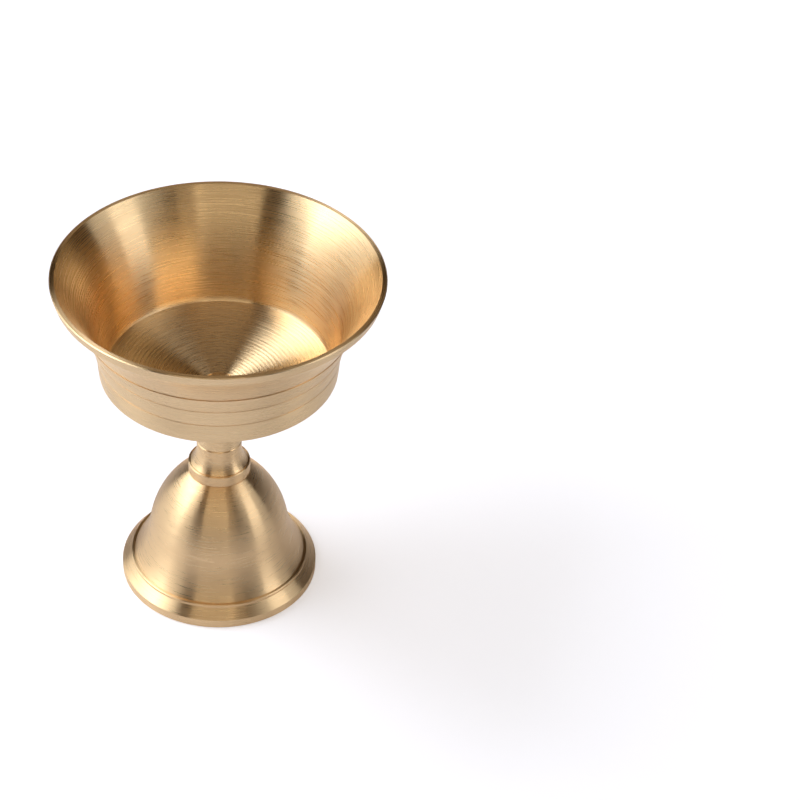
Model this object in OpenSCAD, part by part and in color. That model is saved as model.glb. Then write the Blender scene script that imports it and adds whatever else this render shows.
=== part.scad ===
// Votive butter lamp: a turned cup and neck, a loose turned collar and a hollow bell foot,
// drawn together by a threaded stud, a washer and a nut inside the foot.
// The origin is the centre of the ring that the foot stands on, and +Z is the axis of turning.

/* [Whole lamp] */
// Height of the lamp, from the table to the rim
lamp_h = 68.3; // [68:0.1:72]

/* [Cup] */
// Outer radius of the rim
rim_r = 30; // [29.5:0.5:31]
// Height from the waist, above the rounded lower edge, to the rim
waist_drop = 20.34; // [20:0.02:21]
// Width of the flat land on top of the rim
rim_land = 0.9; // [0.6:0.1:1.2]
// Height of the plain band below the rim
lip_h = 1.9; // [1.5:0.1:2.5]
// Outer radius of the cup just above its rounded lower edge
waist_r = 21.8; // [21.4:0.1:22]
// Radius of the dished floor
floor_r = 20.4; // [19:0.1:20.4]
// Depth of the dish, from the floor's edge to its middle
dish_depth = 3.9; // [3.5:0.1:4.1]
// Radius of the flat land around the wick hole
land_r = 3.3; // [2.8:0.1:3.6]
// Number of raised rings turned around the cup
rings = 3; // [1:1:3]
// Height of one ring, groove to groove
ring_h = 3.6; // [3:0.1:3.7]
// Width of the ledge on top of each ring
ledge_w = 0.06; // [0.04:0.02:0.24]
// Width of the ledge on top of the highest ring
top_ledge_w = 0.16; // [0.1:0.02:0.3]
// Radius of the hole that holds the wick
wick_hole_r = 2.1; // [1.5:0.1:2.3]
// Depth of the hole that holds the wick, below its countersink
wick_hole_depth = 5; // [4:0.5:5]

/* [Neck and collar] */
// Radius of the neck
neck_r = 4.2; // [4.1:0.1:4.5]
// Height of the loose collar, with its cove
collar_h = 7.1; // [6.8:0.1:9]
// Radius of the collar's band
band_r = 5.8; // [5.6:0.1:6.4]
// Height of the collar's band
band_h = 2.3; // [1.8:0.1:2.6]

/* [Bell foot] */
// Radius of the foot on the table
foot_r = 18.55; // [18:0.05:20]
// Height of the bell
bell_h = 23.7; // [23.5:0.1:24]
// Thickness of the bell's wall
wall = 1.3; // [1.1:0.1:1.5]
// Height of the upright lip at the foot's edge
foot_lip_h = 1.75; // [1.2:0.05:2]
// Height of the crease between the dome and the flare
crease_z = 12; // [11.5:0.1:12.5]
// Radius of the crease between the dome and the flare
crease_r = 13; // [12.8:0.1:13.2]
// Thickness of the flat crown that the nut pulls against
crown_t = 1.8; // [1.5:0.1:2.2]

/* [Fasteners] */
// Thread radius of the stud
stud_r = 2.5; // [2:0.1:2.5]
// Length of stud inside the neck
stud_grip = 5.6; // [4:0.1:6]
// Distance between opposite flats of the nut
nut_flats = 8; // [7:0.5:8]
// Height of the nut
nut_h = 4; // [3:0.1:4]
// Radius of the washer
washer_r = 5; // [4.8:0.1:5.2]
// Thickness of the washer
washer_t = 1; // [0.8:0.1:1.2]

/* [Hidden] */
$fn = 96;
brass = [0.80, 0.64, 0.38];
steel = [0.72, 0.73, 0.75];
eps = 0.01;

collar_z = bell_h;
neck_z = collar_z + collar_h;
waist_z = lamp_h - waist_drop;
floor_z = waist_z - 0.36;
land_z = floor_z - dish_depth;

thread_gap = 0.05;
passage_gap = 0.1;
washer_gap = 0.15;
small_chamfer = 0.15;
stud_end = 1;

under_bend_r = 8;
under_slope = 15;
lower_edge_r = 0.5;
lower_edge_angle = 39;
floor_step_h = 1.2;
floor_step_out = 0.5;
floor_step_r = 2;
land_step = 0.1;
inner_rim_r = rim_r - rim_land;
inner_wall_r = 36;
lip_r = rim_r - 0.5;
neck_fillet = 1.2;
ledge_fade = 8;
ring_swell = 0.12;
countersink = 0.3;
tap_relief = 0.6;

cove_z = neck_z - 1.6;
cove_low_z = collar_z + band_h;
cove_low_r = band_r - 0.4;

crown_z = bell_h - crown_t;
washer_z = crown_z - washer_t;
nut_z = washer_z - nut_h;
stud_z = nut_z - stud_end;
stud_top_z = neck_z + stud_grip;
ledge_z = 4.1;
ledge_r = 16.2;
step_r = 16.85;
step_z = 3.5;
foot_inner_r = 16.9;
foot_inner_h = 1;
dome_r = 19.25;
bell_flare_r = 19;

// Points along a circle's arc about [cx, cz], by the angle from the outward direction.
function arc(cx, cz, r, from, to, steps = 16) =
    [for (i = [0 : steps]) let (a = from + (to - from) * i / steps) [cx + r * cos(a), cz + r * sin(a)]];

// The centre of the circle of radius r through p and q, on the left of the way from p to q.
function arc_centre(p, q, r) =
    let (d = q - p, l = norm(d), h = sqrt(r * r - l * l / 4))
    (p + q) / 2 + h / l * [-d[1], d[0]];

function angle_from(c, p) = atan2(p[1] - c[1], p[0] - c[0]);

// The shorter arc about c from p to the direction of q, at the distance r.
function arc_about(c, r, p, q, steps = 16) =
    let (from = angle_from(c, p), turn = angle_from(c, q) - from,
         short = turn > 180 ? turn - 360 : turn < -180 ? turn + 360 : turn)
    arc(c[0], c[1], r, from, from + short, steps);

// The cup's outside is one trumpet curve, upright at the waist and widest under the rim's band.
lip_z = lamp_h - lip_h;
flare_rise = lip_z - waist_z;
flare_run = lip_r - waist_r;
flare_r = (flare_rise * flare_rise + flare_run * flare_run) / (2 * flare_run);
function flare_at(z) = waist_r + flare_r - sqrt(flare_r * flare_r - (z - waist_z) * (z - waist_z));

function ring_line(i) = waist_z + i * ring_h;

// How far a band stands in, just above the ledge on the ring below it.
function set_in(i, t) = (i == 0 ? 0 : i == rings ? top_ledge_w : ledge_w) * pow(1 - t, ledge_fade);

// One ring follows the trumpet curve with a shallow swelling, and its top is a narrow ledge.
function ring_curve(i, steps = 12) =
    [for (k = [0 : steps]) let (t = k / steps, z = ring_line(i) + ring_h * t)
        [flare_at(z) + ring_swell * sin(180 * t) - set_in(i, t), z]];

function flare_curve(steps = 16) =
    [for (k = [0 : steps]) let (t = k / steps, z = ring_line(rings) + (lip_z - ring_line(rings)) * t)
        [flare_at(z) - set_in(rings, t), z]];

// The underside: a bend below the lower edge, then a shallow cone down to the neck.
bend_x = waist_r - lower_edge_r - (under_bend_r - lower_edge_r) * sin(lower_edge_angle);
bend_z = waist_z + (under_bend_r - lower_edge_r) * cos(lower_edge_angle);
cone_x = bend_x + under_bend_r * sin(under_slope);
cone_z = bend_z - under_bend_r * cos(under_slope);
function under_at(r) = cone_z - (cone_x - r) * tan(under_slope);

module cup_outline() {
    wall_top = [inner_rim_r, lamp_h];
    wall_foot = [floor_r + floor_step_out, floor_z + floor_step_h];
    wall_centre = arc_centre(wall_top, wall_foot, inner_wall_r);
    floor_edge = [floor_r, floor_z];
    step_centre = arc_centre(floor_edge, wall_foot, floor_step_r);
    fillet_x = neck_r + neck_fillet;
    fillet_z = under_at(fillet_x) - neck_fillet / cos(under_slope);
    polygon(concat(
        [[0, neck_z], [neck_r - small_chamfer, neck_z], [neck_r, neck_z + small_chamfer]],
        arc(fillet_x, fillet_z, neck_fillet, 180, 90 + under_slope, 6),
        arc(bend_x, bend_z, under_bend_r, 270 + under_slope, 270 + lower_edge_angle, 8),
        arc(waist_r - lower_edge_r, waist_z, lower_edge_r, 275 + lower_edge_angle, 355, 5),
        [for (i = [0 : rings - 1]) each ring_curve(i)],
        flare_curve(),
        [[rim_r, lamp_h - small_chamfer], [rim_r - small_chamfer, lamp_h]],
        arc_about(wall_centre, inner_wall_r, wall_top, wall_foot, 20),
        arc_about(step_centre, floor_step_r, wall_foot, floor_edge, 5),
        [[land_r, land_z + land_step], [land_r, land_z], [0, land_z]]
    ));
}

module cup() {
    tap_depth = stud_grip + tap_relief;
    color(brass)
    difference() {
        rotate_extrude() cup_outline();
        translate([0, 0, land_z - countersink - wick_hole_depth])
            cylinder(r = wick_hole_r, h = wick_hole_depth + countersink + eps);
        translate([0, 0, land_z - countersink])
            cylinder(r1 = wick_hole_r, r2 = wick_hole_r + countersink + eps, h = countersink + eps);
        translate([0, 0, neck_z - eps])
            cylinder(r = stud_r + thread_gap, h = tap_depth + eps);
    }
}

module stem_collar() {
    cove_rise = cove_z - cove_low_z;
    cove_run = cove_low_r - neck_r;
    cove_r = (cove_rise * cove_rise + cove_run * cove_run) / (2 * cove_run);
    cove_angle = asin(cove_rise / cove_r);
    color(brass)
    rotate_extrude()
        polygon(concat(
            [[stud_r + passage_gap, collar_z], [band_r - small_chamfer, collar_z]],
            [[band_r, collar_z + small_chamfer], [band_r, cove_low_z - small_chamfer]],
            [[band_r - small_chamfer, cove_low_z]],
            arc(neck_r + cove_r, cove_z, cove_r, 180 + cove_angle, 180, 12),
            [[neck_r, neck_z - small_chamfer], [neck_r - small_chamfer, neck_z]],
            [[stud_r + passage_gap, neck_z]]
        ));
}

module bell_outline() {
    dome_top = [band_r, bell_h];
    crease = [crease_r, crease_z];
    ledge = [ledge_r, ledge_z];
    dome_centre = arc_centre(crease, dome_top, dome_r);
    flare_centre = arc_centre(crease, ledge, bell_flare_r);
    inner_r = dome_r - wall;
    crown_drop = crown_z - dome_centre[1];
    inner_crown = [dome_centre[0] + sqrt(inner_r * inner_r - crown_drop * crown_drop), crown_z];
    polygon(concat(
        [[stud_r + passage_gap, crown_z], inner_crown],
        arc_about(dome_centre, inner_r, inner_crown, crease, 20),
        arc_about(flare_centre, bell_flare_r + wall, crease, ledge, 10),
        [[foot_inner_r, foot_inner_h], [foot_inner_r, 0]],
        [[foot_r - small_chamfer, 0], [foot_r, small_chamfer], [foot_r, foot_lip_h]],
        [[step_r, step_z], [step_r, ledge_z - small_chamfer], [step_r - small_chamfer, ledge_z]],
        arc_about(flare_centre, bell_flare_r, ledge, crease, 16),
        arc_about(dome_centre, dome_r, crease, dome_top, 24),
        [[stud_r + passage_gap, bell_h]]
    ));
}

module bell_foot() {
    color(brass) rotate_extrude() bell_outline();
}

module tie_stud() {
    length = stud_top_z - stud_z;
    color(steel)
    translate([0, 0, stud_z])
    rotate_extrude()
        polygon([
            [0, 0], [stud_r - small_chamfer, 0], [stud_r, small_chamfer],
            [stud_r, length - small_chamfer], [stud_r - small_chamfer, length], [0, length]
        ]);
}

module washer() {
    color(steel)
    translate([0, 0, washer_z])
    difference() {
        cylinder(r = washer_r, h = washer_t);
        translate([0, 0, -eps]) cylinder(r = stud_r + washer_gap, h = washer_t + 2 * eps);
    }
}

module hex_nut() {
    corner_r = nut_flats / 2 / cos(30);
    color(steel)
    translate([0, 0, nut_z])
    difference() {
        intersection() {
            cylinder(r = corner_r, h = nut_h, $fn = 6);
            rotate_extrude()
                polygon([
                    [0, 0], [nut_flats / 2, 0], [corner_r + eps, (corner_r - nut_flats / 2) / 2],
                    [corner_r + eps, nut_h], [0, nut_h]
                ]);
        }
        translate([0, 0, -eps]) cylinder(r = stud_r + thread_gap, h = nut_h + 2 * eps);
    }
}

cup();
stem_collar();
bell_foot();
tie_stud();
washer();
hex_nut();
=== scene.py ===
"""Looks of the turned brass votive lamp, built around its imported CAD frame."""

import math
import random

import bmesh
import bpy
from mathutils import Matrix, Vector


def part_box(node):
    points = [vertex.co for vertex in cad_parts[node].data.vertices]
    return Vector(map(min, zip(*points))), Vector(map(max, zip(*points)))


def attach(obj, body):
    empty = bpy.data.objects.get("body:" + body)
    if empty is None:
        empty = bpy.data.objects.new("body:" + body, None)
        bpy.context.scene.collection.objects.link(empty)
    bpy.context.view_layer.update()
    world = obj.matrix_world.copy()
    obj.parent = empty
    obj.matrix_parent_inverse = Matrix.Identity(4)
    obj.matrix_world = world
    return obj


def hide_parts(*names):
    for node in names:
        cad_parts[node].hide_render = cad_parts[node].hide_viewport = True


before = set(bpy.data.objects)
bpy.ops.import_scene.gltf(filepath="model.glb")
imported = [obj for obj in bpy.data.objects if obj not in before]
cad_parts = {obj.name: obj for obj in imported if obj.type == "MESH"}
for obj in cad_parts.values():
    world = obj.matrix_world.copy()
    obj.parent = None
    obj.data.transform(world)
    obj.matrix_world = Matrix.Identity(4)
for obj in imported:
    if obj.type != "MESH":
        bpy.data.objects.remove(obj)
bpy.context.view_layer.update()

# Meshes. ON_AXIS is in millimetres, and WELD_DISTANCE in metres.
MM = 0.001
SEGMENTS = 192
FASTENER_SEGMENTS = 144
STUD_SEGMENTS = 72
SHARP_ANGLE = math.radians(24)
ON_AXIS = 1e-6
WELD_DISTANCE = 1e-7

# Sizes in millimetres and degrees. What the frame can say is read from its boxes.
cup_low, cup_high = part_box("cup")
_, bell_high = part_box("bell_foot")
_, collar_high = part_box("stem_collar")
stud_low, stud_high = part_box("tie_stud")
nut_low, nut_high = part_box("hex_nut")
washer_low, washer_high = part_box("washer")
rim_r = cup_high.x / MM
rim_z = cup_high.z / MM
neck_z = cup_low.z / MM
foot_r = bell_high.x / MM
bell_h = bell_high.z / MM
band_r = collar_high.x / MM
stud_r = stud_high.x / MM
stud_bottom, stud_top = stud_low.z / MM, stud_high.z / MM
nut_bottom, nut_top = nut_low.z / MM, nut_high.z / MM
nut_flat_r, nut_corner_r = nut_high.y / MM, nut_high.x / MM
washer_bottom, washer_top = washer_low.z / MM, washer_high.z / MM
washer_r = washer_high.x / MM

# Cup. ARC_SKIP leaves out the ends of an arc that its neighbours already hold.
WAIST_Z = rim_z - 20.34
WAIST_R = 21.8
FLOOR_Z = WAIST_Z - 0.36
FLOOR_R = 20.4
FLOOR_STEP_H = 1.2
FLOOR_STEP_OUT = 0.5
FLOOR_STEP_R = 2
DISH_DEPTH = 3.9
LAND_R = 3.3
LAND_STEP = 0.1
RIM_LAND = 0.9
LIP_H = 1.9
LIP_R = rim_r - 0.5
INNER_WALL_R = 36
UNDER_BEND_R = 8
UNDER_SLOPE = 15
LOWER_EDGE_R = 0.5
LOWER_EDGE_ANGLE = 39
ARC_SKIP = 5
RINGS = 3
RING_H = 3.6
RING_SWELL = 0.12
LEDGE_W = 0.06
TOP_LEDGE_W = 0.16
LEDGE_FADE = 8
WICK_R = 2.1
WICK_DEPTH = 5
COUNTERSINK = 0.3
NECK_R = 4.2
NECK_FILLET = 1.2
TAP_DEPTH = 6.2
THREAD_GAP = 0.05
PASSAGE_GAP = 0.1
CHAMFER = 0.15

# Collar
BAND_H = 2.3
COVE_Z = neck_z - 1.6
COVE_LOW_Z = bell_h + BAND_H
COVE_LOW_R = band_r - 0.4

# Bell. CREASE and LEDGE are (radius, height).
WALL = 1.3
CROWN_Z = bell_h - 1.8
FOOT_LIP_H = 1.75
CREASE = (13, 12)
LEDGE = (16.2, 4.1)
STEP_R = 16.85
STEP_Z = 3.5
FOOT_INNER_R = 16.9
FOOT_INNER_H = 1
DOME_R = 19.25
BELL_FLARE_R = 19

# Stud, nut and washer. THREAD_FLANK sets how steep the thread's sides are, and THREAD_CREST how much
# of them is cut off flat.
PITCH = 0.8
THREAD_STEPS = 10
THREAD_DEPTH = 0.43
THREAD_FLANK = 2.6
THREAD_CREST = 0.15
END_CHAMFER = 0.5
NUT_FACE_IN = 0.1
NUT_CONE = 2
NUT_EDGE = 0.02
NUT_COUNTERSINK = 0.3
WASHER_GAP = 0.15
WASHER_ROUND = 0.25
WASHER_BURR = 0.1

# Turning marks: the points of outline from one to the next, their depth, and how much of it is random
MARK_PITCH = 3
FLOOR_MARK_PITCH = 5
WALL_MARK = 0.004
FLOOR_MARK = 0.03
INSIDE_MARK = 0.02
BELL_MARK = 0.003
MARK_CHANCE = 0.6
MARK_FADE = 3


# Outlines
def arc(cx, cz, r, start, end, steps):
    """Points of a circle's arc about (cx, cz), by the angle from the outward direction in degrees."""
    angles = [math.radians(start + (end - start) * i / steps) for i in range(steps + 1)]
    return [(cx + r * math.cos(a), cz + r * math.sin(a)) for a in angles]


def arc_centre(p, q, r):
    """The centre of the circle of radius r through p and q, on the left of the way from p to q."""
    dx, dz = q[0] - p[0], q[1] - p[1]
    length = math.hypot(dx, dz)
    rise = math.sqrt(r * r - length * length / 4) / length
    return (p[0] + q[0]) / 2 - dz * rise, (p[1] + q[1]) / 2 + dx * rise


def arc_about(c, r, p, q, steps):
    """The shorter arc about c, from the direction of p to the direction of q, at the distance r."""
    start = math.degrees(math.atan2(p[1] - c[1], p[0] - c[0]))
    turn = math.degrees(math.atan2(q[1] - c[1], q[0] - c[0])) - start
    turn = (turn + 180) % 360 - 180
    return arc(c[0], c[1], r, start, start + turn, steps)


def line(p, q, steps):
    """Points from p up to, and without, q."""
    return [(p[0] + (q[0] - p[0]) * i / steps, p[1] + (q[1] - p[1]) * i / steps) for i in range(steps)]


def turned_marks(points, pitch, depth, seed):
    """A turning tool's marks: rings of random depth, cut across a stretch of the outline."""
    rng = random.Random(seed)
    last = len(points) - 1
    marked = []
    for i, (r, z) in enumerate(points):
        before, after = points[max(i - 1, 0)], points[min(i + 1, last)]
        dr, dz = after[0] - before[0], after[1] - before[1]
        length = math.hypot(dr, dz) or 1
        fade = min(i, last - i, MARK_FADE) / MARK_FADE
        wave = math.sin(i * 2 * math.pi / pitch)
        cut = depth * fade * (rng.random() * MARK_CHANCE + (1 - MARK_CHANCE) * wave)
        marked.append((r - dz / length * cut, z + dr / length * cut))
    return marked


# The cup's outside is one trumpet curve, upright at the waist and widest under the rim's band.
lip_z = rim_z - LIP_H
flare_rise = lip_z - WAIST_Z
flare_run = LIP_R - WAIST_R
flare_r = (flare_rise**2 + flare_run**2) / (2 * flare_run)


def flare_at(z):
    """Outer radius of the cup's trumpet curve at the height z."""
    return WAIST_R + flare_r - math.sqrt(flare_r**2 - (z - WAIST_Z) ** 2)


def band(i, top, swell, steps):
    """A band of the cup's outside, from ring line i up to top. It stands in above the ledge below it."""
    bottom = WAIST_Z + i * RING_H
    ledge = 0 if i == 0 else TOP_LEDGE_W if i == RINGS else LEDGE_W
    points = []
    for k in range(steps + 1):
        t = k / steps
        z = bottom + (top - bottom) * t
        bulge = swell * math.sin(math.pi * t)
        points.append((flare_at(z) + bulge - ledge * (1 - t) ** LEDGE_FADE, z))
    return points


def cup_outline():
    """From the end of the tapped hole, round the outside and the rim, to the end of the wick hole."""
    under, edge = math.radians(UNDER_SLOPE), math.radians(LOWER_EDGE_ANGLE)
    edge_x = WAIST_R - LOWER_EDGE_R
    edge_start, edge_end = 270 + LOWER_EDGE_ANGLE, 360
    bend_x = edge_x - (UNDER_BEND_R - LOWER_EDGE_R) * math.sin(edge)
    bend_z = WAIST_Z + (UNDER_BEND_R - LOWER_EDGE_R) * math.cos(edge)
    cone = (bend_x + UNDER_BEND_R * math.sin(under), bend_z - UNDER_BEND_R * math.cos(under))
    fillet_x = NECK_R + NECK_FILLET
    fillet_z = cone[1] - (cone[0] - fillet_x) * math.tan(under) - NECK_FILLET / math.cos(under)
    fillet = arc(fillet_x, fillet_z, NECK_FILLET, 180, 90 + UNDER_SLOPE, steps=8)
    floor_edge = (FLOOR_R, FLOOR_Z)
    wall_top = (rim_r - RIM_LAND, rim_z)
    wall_foot = (FLOOR_R + FLOOR_STEP_OUT, FLOOR_Z + FLOOR_STEP_H)
    wall_centre = arc_centre(wall_top, wall_foot, INNER_WALL_R)
    step_centre = arc_centre(floor_edge, wall_foot, FLOOR_STEP_R)
    land_z = FLOOR_Z - DISH_DEPTH
    land_edge = (LAND_R, land_z + LAND_STEP)
    tap_r = stud_r + THREAD_GAP
    hole_z = land_z - COUNTERSINK
    hole_end = (WICK_R, hole_z - WICK_DEPTH)

    outline = [(0, neck_z + TAP_DEPTH), (tap_r, neck_z + TAP_DEPTH)]
    outline += line((tap_r, neck_z), (NECK_R - CHAMFER, neck_z), steps=3)
    outline += [(NECK_R - CHAMFER, neck_z)]
    outline += line((NECK_R, neck_z + CHAMFER), fillet[0], steps=20)
    outline += fillet
    outline += line(fillet[-1], cone, steps=30)[1:]
    outline += arc(bend_x, bend_z, UNDER_BEND_R, 270 + UNDER_SLOPE, edge_start, steps=16)
    outline += arc(edge_x, WAIST_Z, LOWER_EDGE_R, edge_start + ARC_SKIP, edge_end - ARC_SKIP, steps=6)
    for i in range(RINGS):
        outline += band(i, WAIST_Z + (i + 1) * RING_H, RING_SWELL, steps=26)
    outline += band(RINGS, lip_z, 0, steps=36)
    outline += line((rim_r, rim_z - CHAMFER), (rim_r - CHAMFER, rim_z), steps=2)
    outline += [(rim_r - CHAMFER, rim_z)]
    wall = arc_about(wall_centre, INNER_WALL_R, wall_top, wall_foot, steps=90)
    outline += turned_marks(wall, MARK_PITCH, WALL_MARK, seed=12)
    outline += arc_about(step_centre, FLOOR_STEP_R, wall_foot, floor_edge, steps=8)[1:]
    dish = line(floor_edge, land_edge, steps=120)
    outline += turned_marks(dish, FLOOR_MARK_PITCH, FLOOR_MARK, seed=13)[1:]
    outline += [land_edge, (LAND_R, land_z), (WICK_R + COUNTERSINK, land_z)]
    outline += line((WICK_R, hole_z), hole_end, steps=10)
    return outline + [hole_end, (0, hole_end[1])]


def collar_outline():
    """From the bell's crown, up the band and the cove to the neck's face, and down the stud's passage."""
    rise = COVE_Z - COVE_LOW_Z
    run = COVE_LOW_R - NECK_R
    cove_r = (rise**2 + run**2) / (2 * run)
    cove_angle = math.degrees(math.asin(rise / cove_r))
    hole_r = stud_r + PASSAGE_GAP
    outline = [(hole_r, bell_h), (band_r - CHAMFER, bell_h)]
    outline += line((band_r, bell_h + CHAMFER), (band_r, COVE_LOW_Z - CHAMFER), steps=12)
    outline += [(band_r, COVE_LOW_Z - CHAMFER), (band_r - CHAMFER, COVE_LOW_Z)]
    outline += arc(NECK_R + cove_r, COVE_Z, cove_r, 180 + cove_angle, 180, steps=24)
    outline += [(NECK_R, neck_z - CHAMFER), (NECK_R - CHAMFER, neck_z), (hole_r, neck_z)]
    return outline + [(hole_r, bell_h)]


def bell_outline():
    """From the crown's underside, down the hollow to the foot, and up the outside to the crown."""
    dome_top = (band_r, bell_h)
    dome_centre = arc_centre(CREASE, dome_top, DOME_R)
    flare_centre = arc_centre(CREASE, LEDGE, BELL_FLARE_R)
    inner_r = DOME_R - WALL
    drop = CROWN_Z - dome_centre[1]
    inner_crown = (dome_centre[0] + math.sqrt(inner_r**2 - drop**2), CROWN_Z)
    hole_r = stud_r + PASSAGE_GAP
    hollow_dome = arc_about(dome_centre, inner_r, inner_crown, CREASE, steps=50)
    hollow_flare = arc_about(flare_centre, BELL_FLARE_R + WALL, CREASE, LEDGE, steps=30)
    flare = arc_about(flare_centre, BELL_FLARE_R, LEDGE, CREASE, steps=50)
    dome = arc_about(dome_centre, DOME_R, CREASE, dome_top, steps=80)[1:]

    outline = line((hole_r, CROWN_Z), inner_crown, steps=6)
    outline += turned_marks(hollow_dome, MARK_PITCH, INSIDE_MARK, seed=21)
    outline += turned_marks(hollow_flare, MARK_PITCH, INSIDE_MARK, seed=22)
    outline += [(FOOT_INNER_R, FOOT_INNER_H), (FOOT_INNER_R, 0)]
    outline += [(foot_r - CHAMFER, 0), (foot_r, CHAMFER)]
    outline += line((foot_r, CHAMFER), (foot_r, FOOT_LIP_H), steps=8)[1:]
    outline += line((foot_r, FOOT_LIP_H), (STEP_R, STEP_Z), steps=14)
    outline += [(STEP_R, STEP_Z), (STEP_R, LEDGE[1] - CHAMFER), (STEP_R - CHAMFER, LEDGE[1])]
    outline += turned_marks(flare, MARK_PITCH, BELL_MARK, seed=23)
    outline += turned_marks(dome, MARK_PITCH, BELL_MARK, seed=24)
    return outline + [(hole_r, bell_h), (hole_r, CROWN_Z)]


def thread(z, crest_r, low, high):
    """Radius around an M5 thread at the height z, worn down to a point's width at both ends."""
    phase = z / PITCH

    def radius(a):
        t = (phase - a / (2 * math.pi)) % 1
        groove = min(1, max(0, abs(t - 0.5) * THREAD_FLANK - THREAD_CREST)) * THREAD_DEPTH
        worn = max(0, END_CHAMFER - min(z - low, high - z))
        return min(crest_r - groove, crest_r - worn)

    return radius


def thread_cut(z, bore):
    """Radius around the nut's thread at the height z, flared out to the countersink at both ends."""
    screw = thread(z, bore, z - 1, z + 1)
    flare = max(0, NUT_COUNTERSINK - min(z - nut_bottom, nut_top - z))
    return lambda a: max(screw(a), bore - THREAD_DEPTH + flare * NUT_CONE)


def stud_outline():
    """The whole stud is threaded, so each of its rows goes round the thread."""
    steps = round((stud_top - stud_bottom) / PITCH * THREAD_STEPS)
    heights = [stud_bottom + (stud_top - stud_bottom) * i / steps for i in range(steps + 1)]
    rows = [(thread(z, stud_r, stud_bottom, stud_top), z) for z in heights]
    return [(0, stud_bottom)] + rows + [(0, stud_top)]


def nut_outline():
    """A hexagon with its lower corners turned off, around a thread that meets the stud's."""
    height = nut_top - nut_bottom
    face_r = nut_flat_r - NUT_FACE_IN
    bore = stud_r + THREAD_GAP

    def hexagon(z):
        cone_r = face_r + (z - nut_bottom) * NUT_CONE
        sixth = math.radians(60)
        return lambda a: min(cone_r, nut_flat_r / math.cos(a % sixth - sixth / 2))

    cut_z = nut_bottom + (nut_corner_r - face_r) / NUT_CONE
    rows = [(bore + NUT_COUNTERSINK, nut_bottom), (face_r, nut_bottom)]
    rows += [(hexagon(z), z) for _, z in line((0, nut_bottom + NUT_EDGE), (0, cut_z), steps=8)]
    rows += [(hexagon(z), z) for z in (cut_z, nut_bottom + height / 2, nut_top)]
    rows += [(bore + NUT_COUNTERSINK, nut_top)]
    steps = round(height / PITCH * THREAD_STEPS)
    heights = [nut_top - height * i / steps for i in range(steps + 1)]
    rows += [(thread_cut(z, bore), z) for z in heights]
    return rows + [(bore + NUT_COUNTERSINK, nut_bottom)]


def washer_outline():
    """Stamped from sheet: rounded over at its lower outer edge, and sharp above."""
    hole = stud_r + WASHER_GAP
    edge_x, edge_z = washer_r - WASHER_ROUND, washer_bottom + WASHER_ROUND
    outline = [(hole, washer_bottom + WASHER_BURR), (hole + WASHER_BURR, washer_bottom)]
    outline += arc(edge_x, edge_z, WASHER_ROUND, 270, 360, steps=6)
    return outline + [(washer_r, washer_top), (hole, washer_top), (hole, washer_bottom + WASHER_BURR)]


def lathe(name, outline, segments=SEGMENTS):
    """Turns an outline of (radius, height) points about Z. A radius may be a function of the angle."""
    vertices, faces, rows = [], [], []
    for r, z in outline:
        radius = r if callable(r) else lambda a, r=r: r
        if radius(0) < ON_AXIS:
            rows.append([len(vertices)] * segments)
            vertices.append((0, 0, z * MM))
            continue
        rows.append(range(len(vertices), len(vertices) + segments))
        for k in range(segments):
            a = 2 * math.pi * k / segments
            vertices.append((radius(a) * math.cos(a) * MM, radius(a) * math.sin(a) * MM, z * MM))
    for low, high in zip(rows, rows[1:]):
        for k in range(segments):
            n = (k + 1) % segments
            corners = [low[k], low[n], high[n], high[k]]
            faces.append(list(dict.fromkeys(corners)))
    mesh = bpy.data.meshes.new(name)
    mesh.from_pydata(vertices, [], faces)
    mesh.validate()
    piece = bpy.data.objects.new(name, mesh)
    bpy.context.scene.collection.objects.link(piece)
    weld(mesh)
    mesh.polygons.foreach_set("use_smooth", [True] * len(mesh.polygons))
    mesh.set_sharp_from_angle(angle=SHARP_ANGLE)
    return piece


def weld(mesh):
    """Joins vertices that lie together, as where an outline closes on itself."""
    bm = bmesh.new()
    bm.from_mesh(mesh)
    bmesh.ops.remove_doubles(bm, verts=bm.verts, dist=WELD_DISTANCE)
    bmesh.ops.recalc_face_normals(bm, faces=bm.faces)
    bm.to_mesh(mesh)
    bm.free()


# Materials. Noise is scaled in cells per metre, and heights are in metres.
FINE_LINES = 9000
BROAD_LINES = 5000
BROAD_REACH = 1.3
BROAD_WEIGHT = 1.2
LINE_HEIGHT = 0.00004
LINE_DETAIL = 0.5
PHASE = 0.5
TINT = 0.05
STAINS = 350
STRAW = (1, 0.93, 0.8)
GRAIN_HEIGHT = 0.00002
GRAIN_BUMP = 0.3
NOISE_LOW, NOISE_HIGH = 0.3, 0.7


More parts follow.
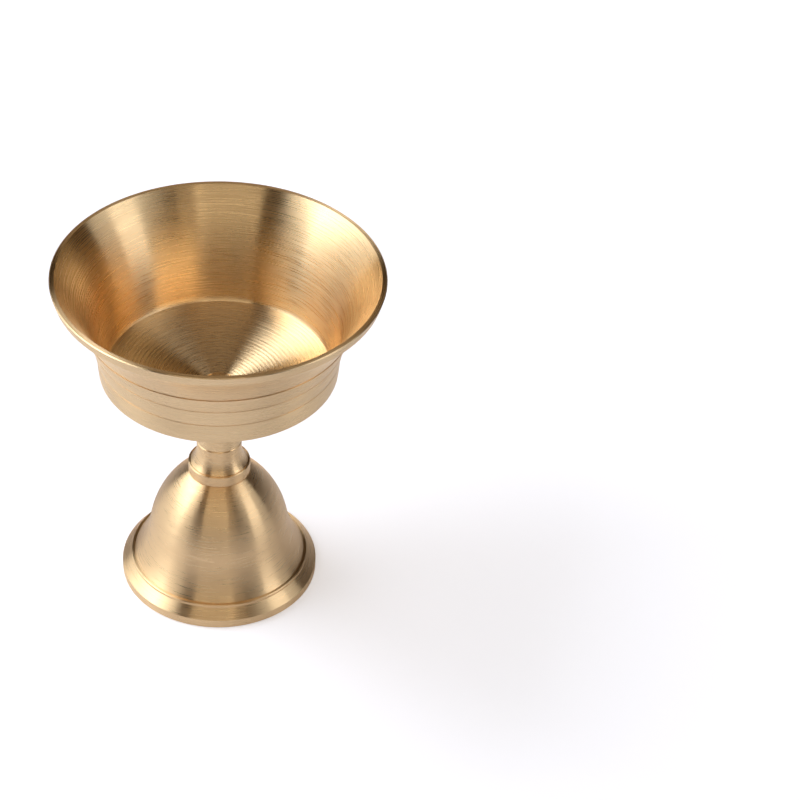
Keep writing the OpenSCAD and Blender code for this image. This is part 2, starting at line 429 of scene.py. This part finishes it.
class Graph:
    """Builds a material's node graph in a line or two per node."""

    def __init__(self, name):
        self.material = bpy.data.materials.new(name)
        self.material.use_nodes = True
        self.nodes = self.material.node_tree.nodes
        self.links = self.material.node_tree.links
        self.shader = self.nodes["Principled BSDF"]

    def add(self, kind, inputs=(), **settings):
        """A new node, with its settings and with what feeds its inputs, by name or by number."""
        node = self.nodes.new(kind)
        for key, value in settings.items():
            setattr(node, key, value)
        for key, value in dict(inputs).items():
            self.feed(node.inputs[key], value)
        return node

    def feed(self, socket, value):
        """Links a node's output to a socket, or sets the socket to a plain value."""
        if isinstance(value, bpy.types.NodeSocket):
            self.links.new(value, socket)
        else:
            socket.default_value = value

    def math(self, operation, a, b, c=0.0):
        """The result of one sum on a, b and c."""
        return self.add("ShaderNodeMath", {0: a, 1: b, 2: c}, operation=operation).outputs[0]

    def noise(self, place, w, scale, detail):
        """Noise over a place, where w picks the pattern."""
        inputs = {"Vector": place, "W": w, "Scale": scale, "Detail": detail}
        return self.add("ShaderNodeTexNoise", inputs, noise_dimensions="4D").outputs["Fac"]

    def lustre(self, noise, roughness, smoother, rougher):
        """Roughness that goes with the noise, from smoother to rougher times the given one."""
        return self.add("ShaderNodeMapRange", {
            "Value": noise, "From Min": NOISE_LOW, "From Max": NOISE_HIGH,
            "To Min": roughness * smoother, "To Max": roughness * rougher,
        }).outputs[0]


def lathe_noise(g, fineness, streak, seed):
    """Noise in rings about Z: fine across the tool's lines, and long along them."""
    place = g.add("ShaderNodeTexCoord").outputs["Object"]
    flat = g.add("ShaderNodeVectorMath", {0: place, 1: (1, 1, 0)}, operation="MULTIPLY").outputs[0]
    radius = g.add("ShaderNodeVectorMath", {0: flat}, operation="LENGTH").outputs["Value"]
    around = g.add("ShaderNodeVectorMath", {0: flat}, operation="NORMALIZE").outputs[0]
    around = g.add("ShaderNodeSeparateXYZ", {0: around})
    height = g.add("ShaderNodeSeparateXYZ", {0: place}).outputs["Z"]
    across = g.add("ShaderNodeCombineXYZ", {
        "X": g.math("MULTIPLY", radius, fineness),
        "Y": g.math("MULTIPLY", height, fineness),
        "Z": g.math("MULTIPLY_ADD", around.outputs["X"], streak, PHASE),
    })
    along = g.math("MULTIPLY_ADD", around.outputs["Y"], streak, seed)
    return g.noise(across.outputs[0], along, scale=1.0, detail=LINE_DETAIL)


def brushed_brass(name, colour, roughness, line_depth, reach):
    """Brass brushed around the axis: fine lines in the bump, and uneven lustre along them."""
    g = Graph(name)
    fine = lathe_noise(g, FINE_LINES, reach, seed=0.0)
    broad = lathe_noise(g, BROAD_LINES, reach * BROAD_REACH, seed=7.0)
    dark = [c * (1 - TINT) for c in colour] + [1]
    light = [min(1, c * (1 + TINT)) for c in colour] + [1]
    shade = g.add("ShaderNodeMix", {"Factor": fine, 6: dark, 7: light}, data_type="RGBA")
    height = g.math("MULTIPLY_ADD", broad, BROAD_WEIGHT, fine)
    bump = g.add("ShaderNodeBump", {
        "Strength": line_depth, "Distance": LINE_HEIGHT, "Height": height,
    })
    tangent = g.add("ShaderNodeTangent", direction_type="RADIAL", axis="Z")
    g.feed(g.shader.inputs["Base Color"], shade.outputs[2])
    g.feed(g.shader.inputs["Metallic"], 1.0)
    g.feed(g.shader.inputs["Roughness"], g.lustre(fine, roughness, smoother=0.85, rougher=1.15))
    g.feed(g.shader.inputs["Anisotropic"], 1.0)
    g.feed(g.shader.inputs["Anisotropic Rotation"], 0.25)
    g.feed(g.shader.inputs["Normal"], bump.outputs[0])
    g.feed(g.shader.inputs["Tangent"], tangent.outputs[0])
    return g.material


def zinc_plate(name, colour, roughness, grain, seed):
    """Bright zinc on steel: a cool skin with faint cloudy stains and a fine grain."""
    g = Graph(name)
    place = g.add("ShaderNodeTexCoord").outputs["Object"]
    cloud = g.noise(place, seed, STAINS, detail=3)
    speck = g.noise(place, seed, grain, detail=2)
    fresh = [*colour, 1]
    straw = [c * s for c, s in zip(colour, STRAW)] + [1]
    shade = g.add("ShaderNodeMix", {"Factor": cloud, 6: fresh, 7: straw}, data_type="RGBA")
    bump = g.add("ShaderNodeBump", {
        "Strength": GRAIN_BUMP, "Distance": GRAIN_HEIGHT, "Height": speck,
    })
    g.feed(g.shader.inputs["Base Color"], shade.outputs[2])
    g.feed(g.shader.inputs["Metallic"], 1.0)
    g.feed(g.shader.inputs["Roughness"], g.lustre(speck, roughness, smoother=0.75, rougher=1.3))
    g.feed(g.shader.inputs["Normal"], bump.outputs[0])
    return g.material


def dress(piece, body, node, material):
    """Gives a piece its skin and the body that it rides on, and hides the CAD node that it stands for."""
    piece.data.materials.append(material)
    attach(piece, body)
    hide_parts(node)


CUP_BRASS = (0.85, 0.62, 0.36)
FOOT_BRASS = (0.85, 0.605, 0.345)
cup_skin = brushed_brass("cup_brushed", CUP_BRASS, roughness=0.29, line_depth=0.21, reach=3.0)
collar_skin = brushed_brass("collar_brushed", FOOT_BRASS, roughness=0.3, line_depth=0.14, reach=2.0)
bell_skin = brushed_brass("bell_brushed", FOOT_BRASS, roughness=0.31, line_depth=0.18, reach=2.6)
dress(lathe("cup_turned", cup_outline()), "cup", "cup", cup_skin)
dress(lathe("collar_turned", collar_outline()), "collar", "stem_collar", collar_skin)
dress(lathe("bell_turned", bell_outline()), "foot", "bell_foot", bell_skin)

STUD_ZINC = (0.62, 0.63, 0.65)
WASHER_ZINC = (0.72, 0.73, 0.75)
NUT_ZINC = (0.68, 0.69, 0.71)
stud_skin = zinc_plate("stud_zinc", STUD_ZINC, roughness=0.34, grain=5000, seed=1.0)
washer_skin = zinc_plate("washer_zinc", WASHER_ZINC, roughness=0.26, grain=3000, seed=2.0)
nut_skin = zinc_plate("nut_zinc", NUT_ZINC, roughness=0.3, grain=4000, seed=3.0)
stud = lathe("stud_threaded", stud_outline(), STUD_SEGMENTS)
washer = lathe("washer_stamped", washer_outline(), FASTENER_SEGMENTS)
nut = lathe("nut_threaded", nut_outline(), FASTENER_SEGMENTS)
dress(stud, "foot", "tie_stud", stud_skin)
dress(washer, "foot", "washer", washer_skin)
dress(nut, "foot", "hex_nut", nut_skin)


# Floor, light and camera, in metres
STUDIO_RADIUS = 4
LIT_POINT = Vector((0, 0, 0.04))
SOFTBOX_WATTS = 4
FLOOR_HALF = 2
FLOOR_DROP = 0.02 * MM
FLOOR_GLOW = 0.09
FLOOR_LIFT = 0.3


def floor():
    """A pale sheet a hair under the lamp's foot, clear from below so that the underside shows.

    It glows a little, and more for the camera alone, which lifts it to the white of the backdrop."""
    mesh = bpy.data.meshes.new("floor")
    half, z = FLOOR_HALF, -FLOOR_DROP
    corners = [(-half, -half, z), (half, -half, z), (half, half, z), (-half, half, z)]
    mesh.from_pydata(corners, [], [(0, 1, 2, 3)])
    plane = bpy.data.objects.new("floor", mesh)
    bpy.context.scene.collection.objects.link(plane)
    g = Graph("floor_paper")
    g.feed(g.shader.inputs["Base Color"], (0.84, 0.85, 0.95, 1))
    g.feed(g.shader.inputs["Roughness"], 0.7)
    g.feed(g.shader.inputs["Emission Color"], (1, 0.99, 0.98, 1))
    seen = g.add("ShaderNodeLightPath").outputs["Is Camera Ray"]
    glow = g.math("MULTIPLY_ADD", seen, FLOOR_LIFT, FLOOR_GLOW)
    g.feed(g.shader.inputs["Emission Strength"], glow)
    below = g.add("ShaderNodeNewGeometry").outputs["Backfacing"]
    clear = g.add("ShaderNodeBsdfTransparent").outputs[0]
    mixed = g.add("ShaderNodeMixShader", {0: below, 1: g.shader.outputs[0], 2: clear})
    g.feed(g.nodes["Material Output"].inputs["Surface"], mixed.outputs[0])
    mesh.materials.append(g.material)


def softbox(name, at, size, brightness, colour=(1, 1, 1)):
    """A soft rectangular light. Its place (azimuth, elevation) and size are in degrees from the lamp.

    Azimuth 0 is on +X, and 90 on +Y."""
    a, e = math.radians(at[0]), math.radians(at[1])
    width, height = math.radians(size[0]), math.radians(size[1])
    away = Vector((math.cos(a) * math.cos(e), math.sin(a) * math.cos(e), math.sin(e)))
    light = bpy.data.lights.new(name, "AREA")
    light.shape = "RECTANGLE"
    light.size = 2 * STUDIO_RADIUS * math.tan(width / 2)
    light.size_y = 2 * STUDIO_RADIUS * math.tan(height / 2)
    light.energy = SOFTBOX_WATTS * brightness * light.size * light.size_y
    light.color = colour
    panel = bpy.data.objects.new(name, light)
    panel.location = LIT_POINT + away * STUDIO_RADIUS
    panel.rotation_euler = away.to_track_quat("Z", "Y").to_euler()
    bpy.context.scene.collection.objects.link(panel)


def studio():
    """A dim room that the camera sees as white, a large softbox left, a smaller one right, and fills."""
    world = bpy.data.worlds.new("studio")
    world.use_nodes = True
    nodes, links = world.node_tree.nodes, world.node_tree.links
    room = nodes["Background"]
    room.inputs["Color"].default_value = (0.045, 0.032, 0.02, 1)
    backdrop = nodes.new("ShaderNodeBackground")
    backdrop.inputs["Color"].default_value = (0.97, 0.97, 0.965, 1)
    seen = nodes.new("ShaderNodeLightPath")
    mix = nodes.new("ShaderNodeMixShader")
    links.new(seen.outputs["Is Camera Ray"], mix.inputs["Fac"])
    links.new(room.outputs[0], mix.inputs[1])
    links.new(backdrop.outputs[0], mix.inputs[2])
    links.new(mix.outputs[0], nodes["World Output"].inputs["Surface"])
    bpy.context.scene.world = world
    softbox("key_left", at=(164, 42), size=(60, 42), brightness=3.1, colour=(0.93, 0.97, 1))
    softbox("key_right", at=(-11, 40), size=(42, 48), brightness=0.78, colour=(0.94, 0.98, 1))
    softbox("low_right", at=(-20, 20), size=(20, 16), brightness=1.6)
    softbox("front_fill", at=(262, 36), size=(42, 20), brightness=1.1, colour=(1, 0.9, 0.72))
    softbox("front_fade", at=(292, 36), size=(16, 20), brightness=0.5, colour=(1, 0.88, 0.7))
    softbox("low_left", at=(196, 7), size=(46, 13), brightness=0.35)
    softbox("low_back", at=(90, 16), size=(40, 20), brightness=1.1, colour=(1, 0.75, 0.5))
    softbox("top_fill", at=(270, 85), size=(40, 40), brightness=0.25, colour=(1, 0.85, 0.7))


def camera():
    """It stands 0.487 m from the lamp's middle, looks down at 38.9 degrees, and turns a little aside."""
    distance, elevation, middle = 0.487, math.radians(38.9), 0.035
    yaw, pitch, roll = math.radians(-3.946), math.radians(0.447), math.radians(-0.18)
    data = bpy.data.cameras.new("camera")
    data.sensor_width = 36
    data.lens = 118
    data.clip_start = 0.01
    eye = bpy.data.objects.new("camera", data)
    in_front, above = distance * math.cos(elevation), distance * math.sin(elevation)
    place = Matrix.Translation((0, -in_front, middle + above))
    look = Matrix.Rotation(math.radians(90) - elevation, 4, "X")
    turn = Matrix.Rotation(yaw, 4, "Y") @ Matrix.Rotation(pitch, 4, "X")
    eye.matrix_world = place @ look @ turn @ Matrix.Rotation(roll, 4, "Z")
    bpy.context.scene.collection.objects.link(eye)
    bpy.context.scene.camera = eye


floor()
studio()
camera()
bpy.context.scene.view_settings.view_transform = "Standard"

bpy.context.view_layer.update()
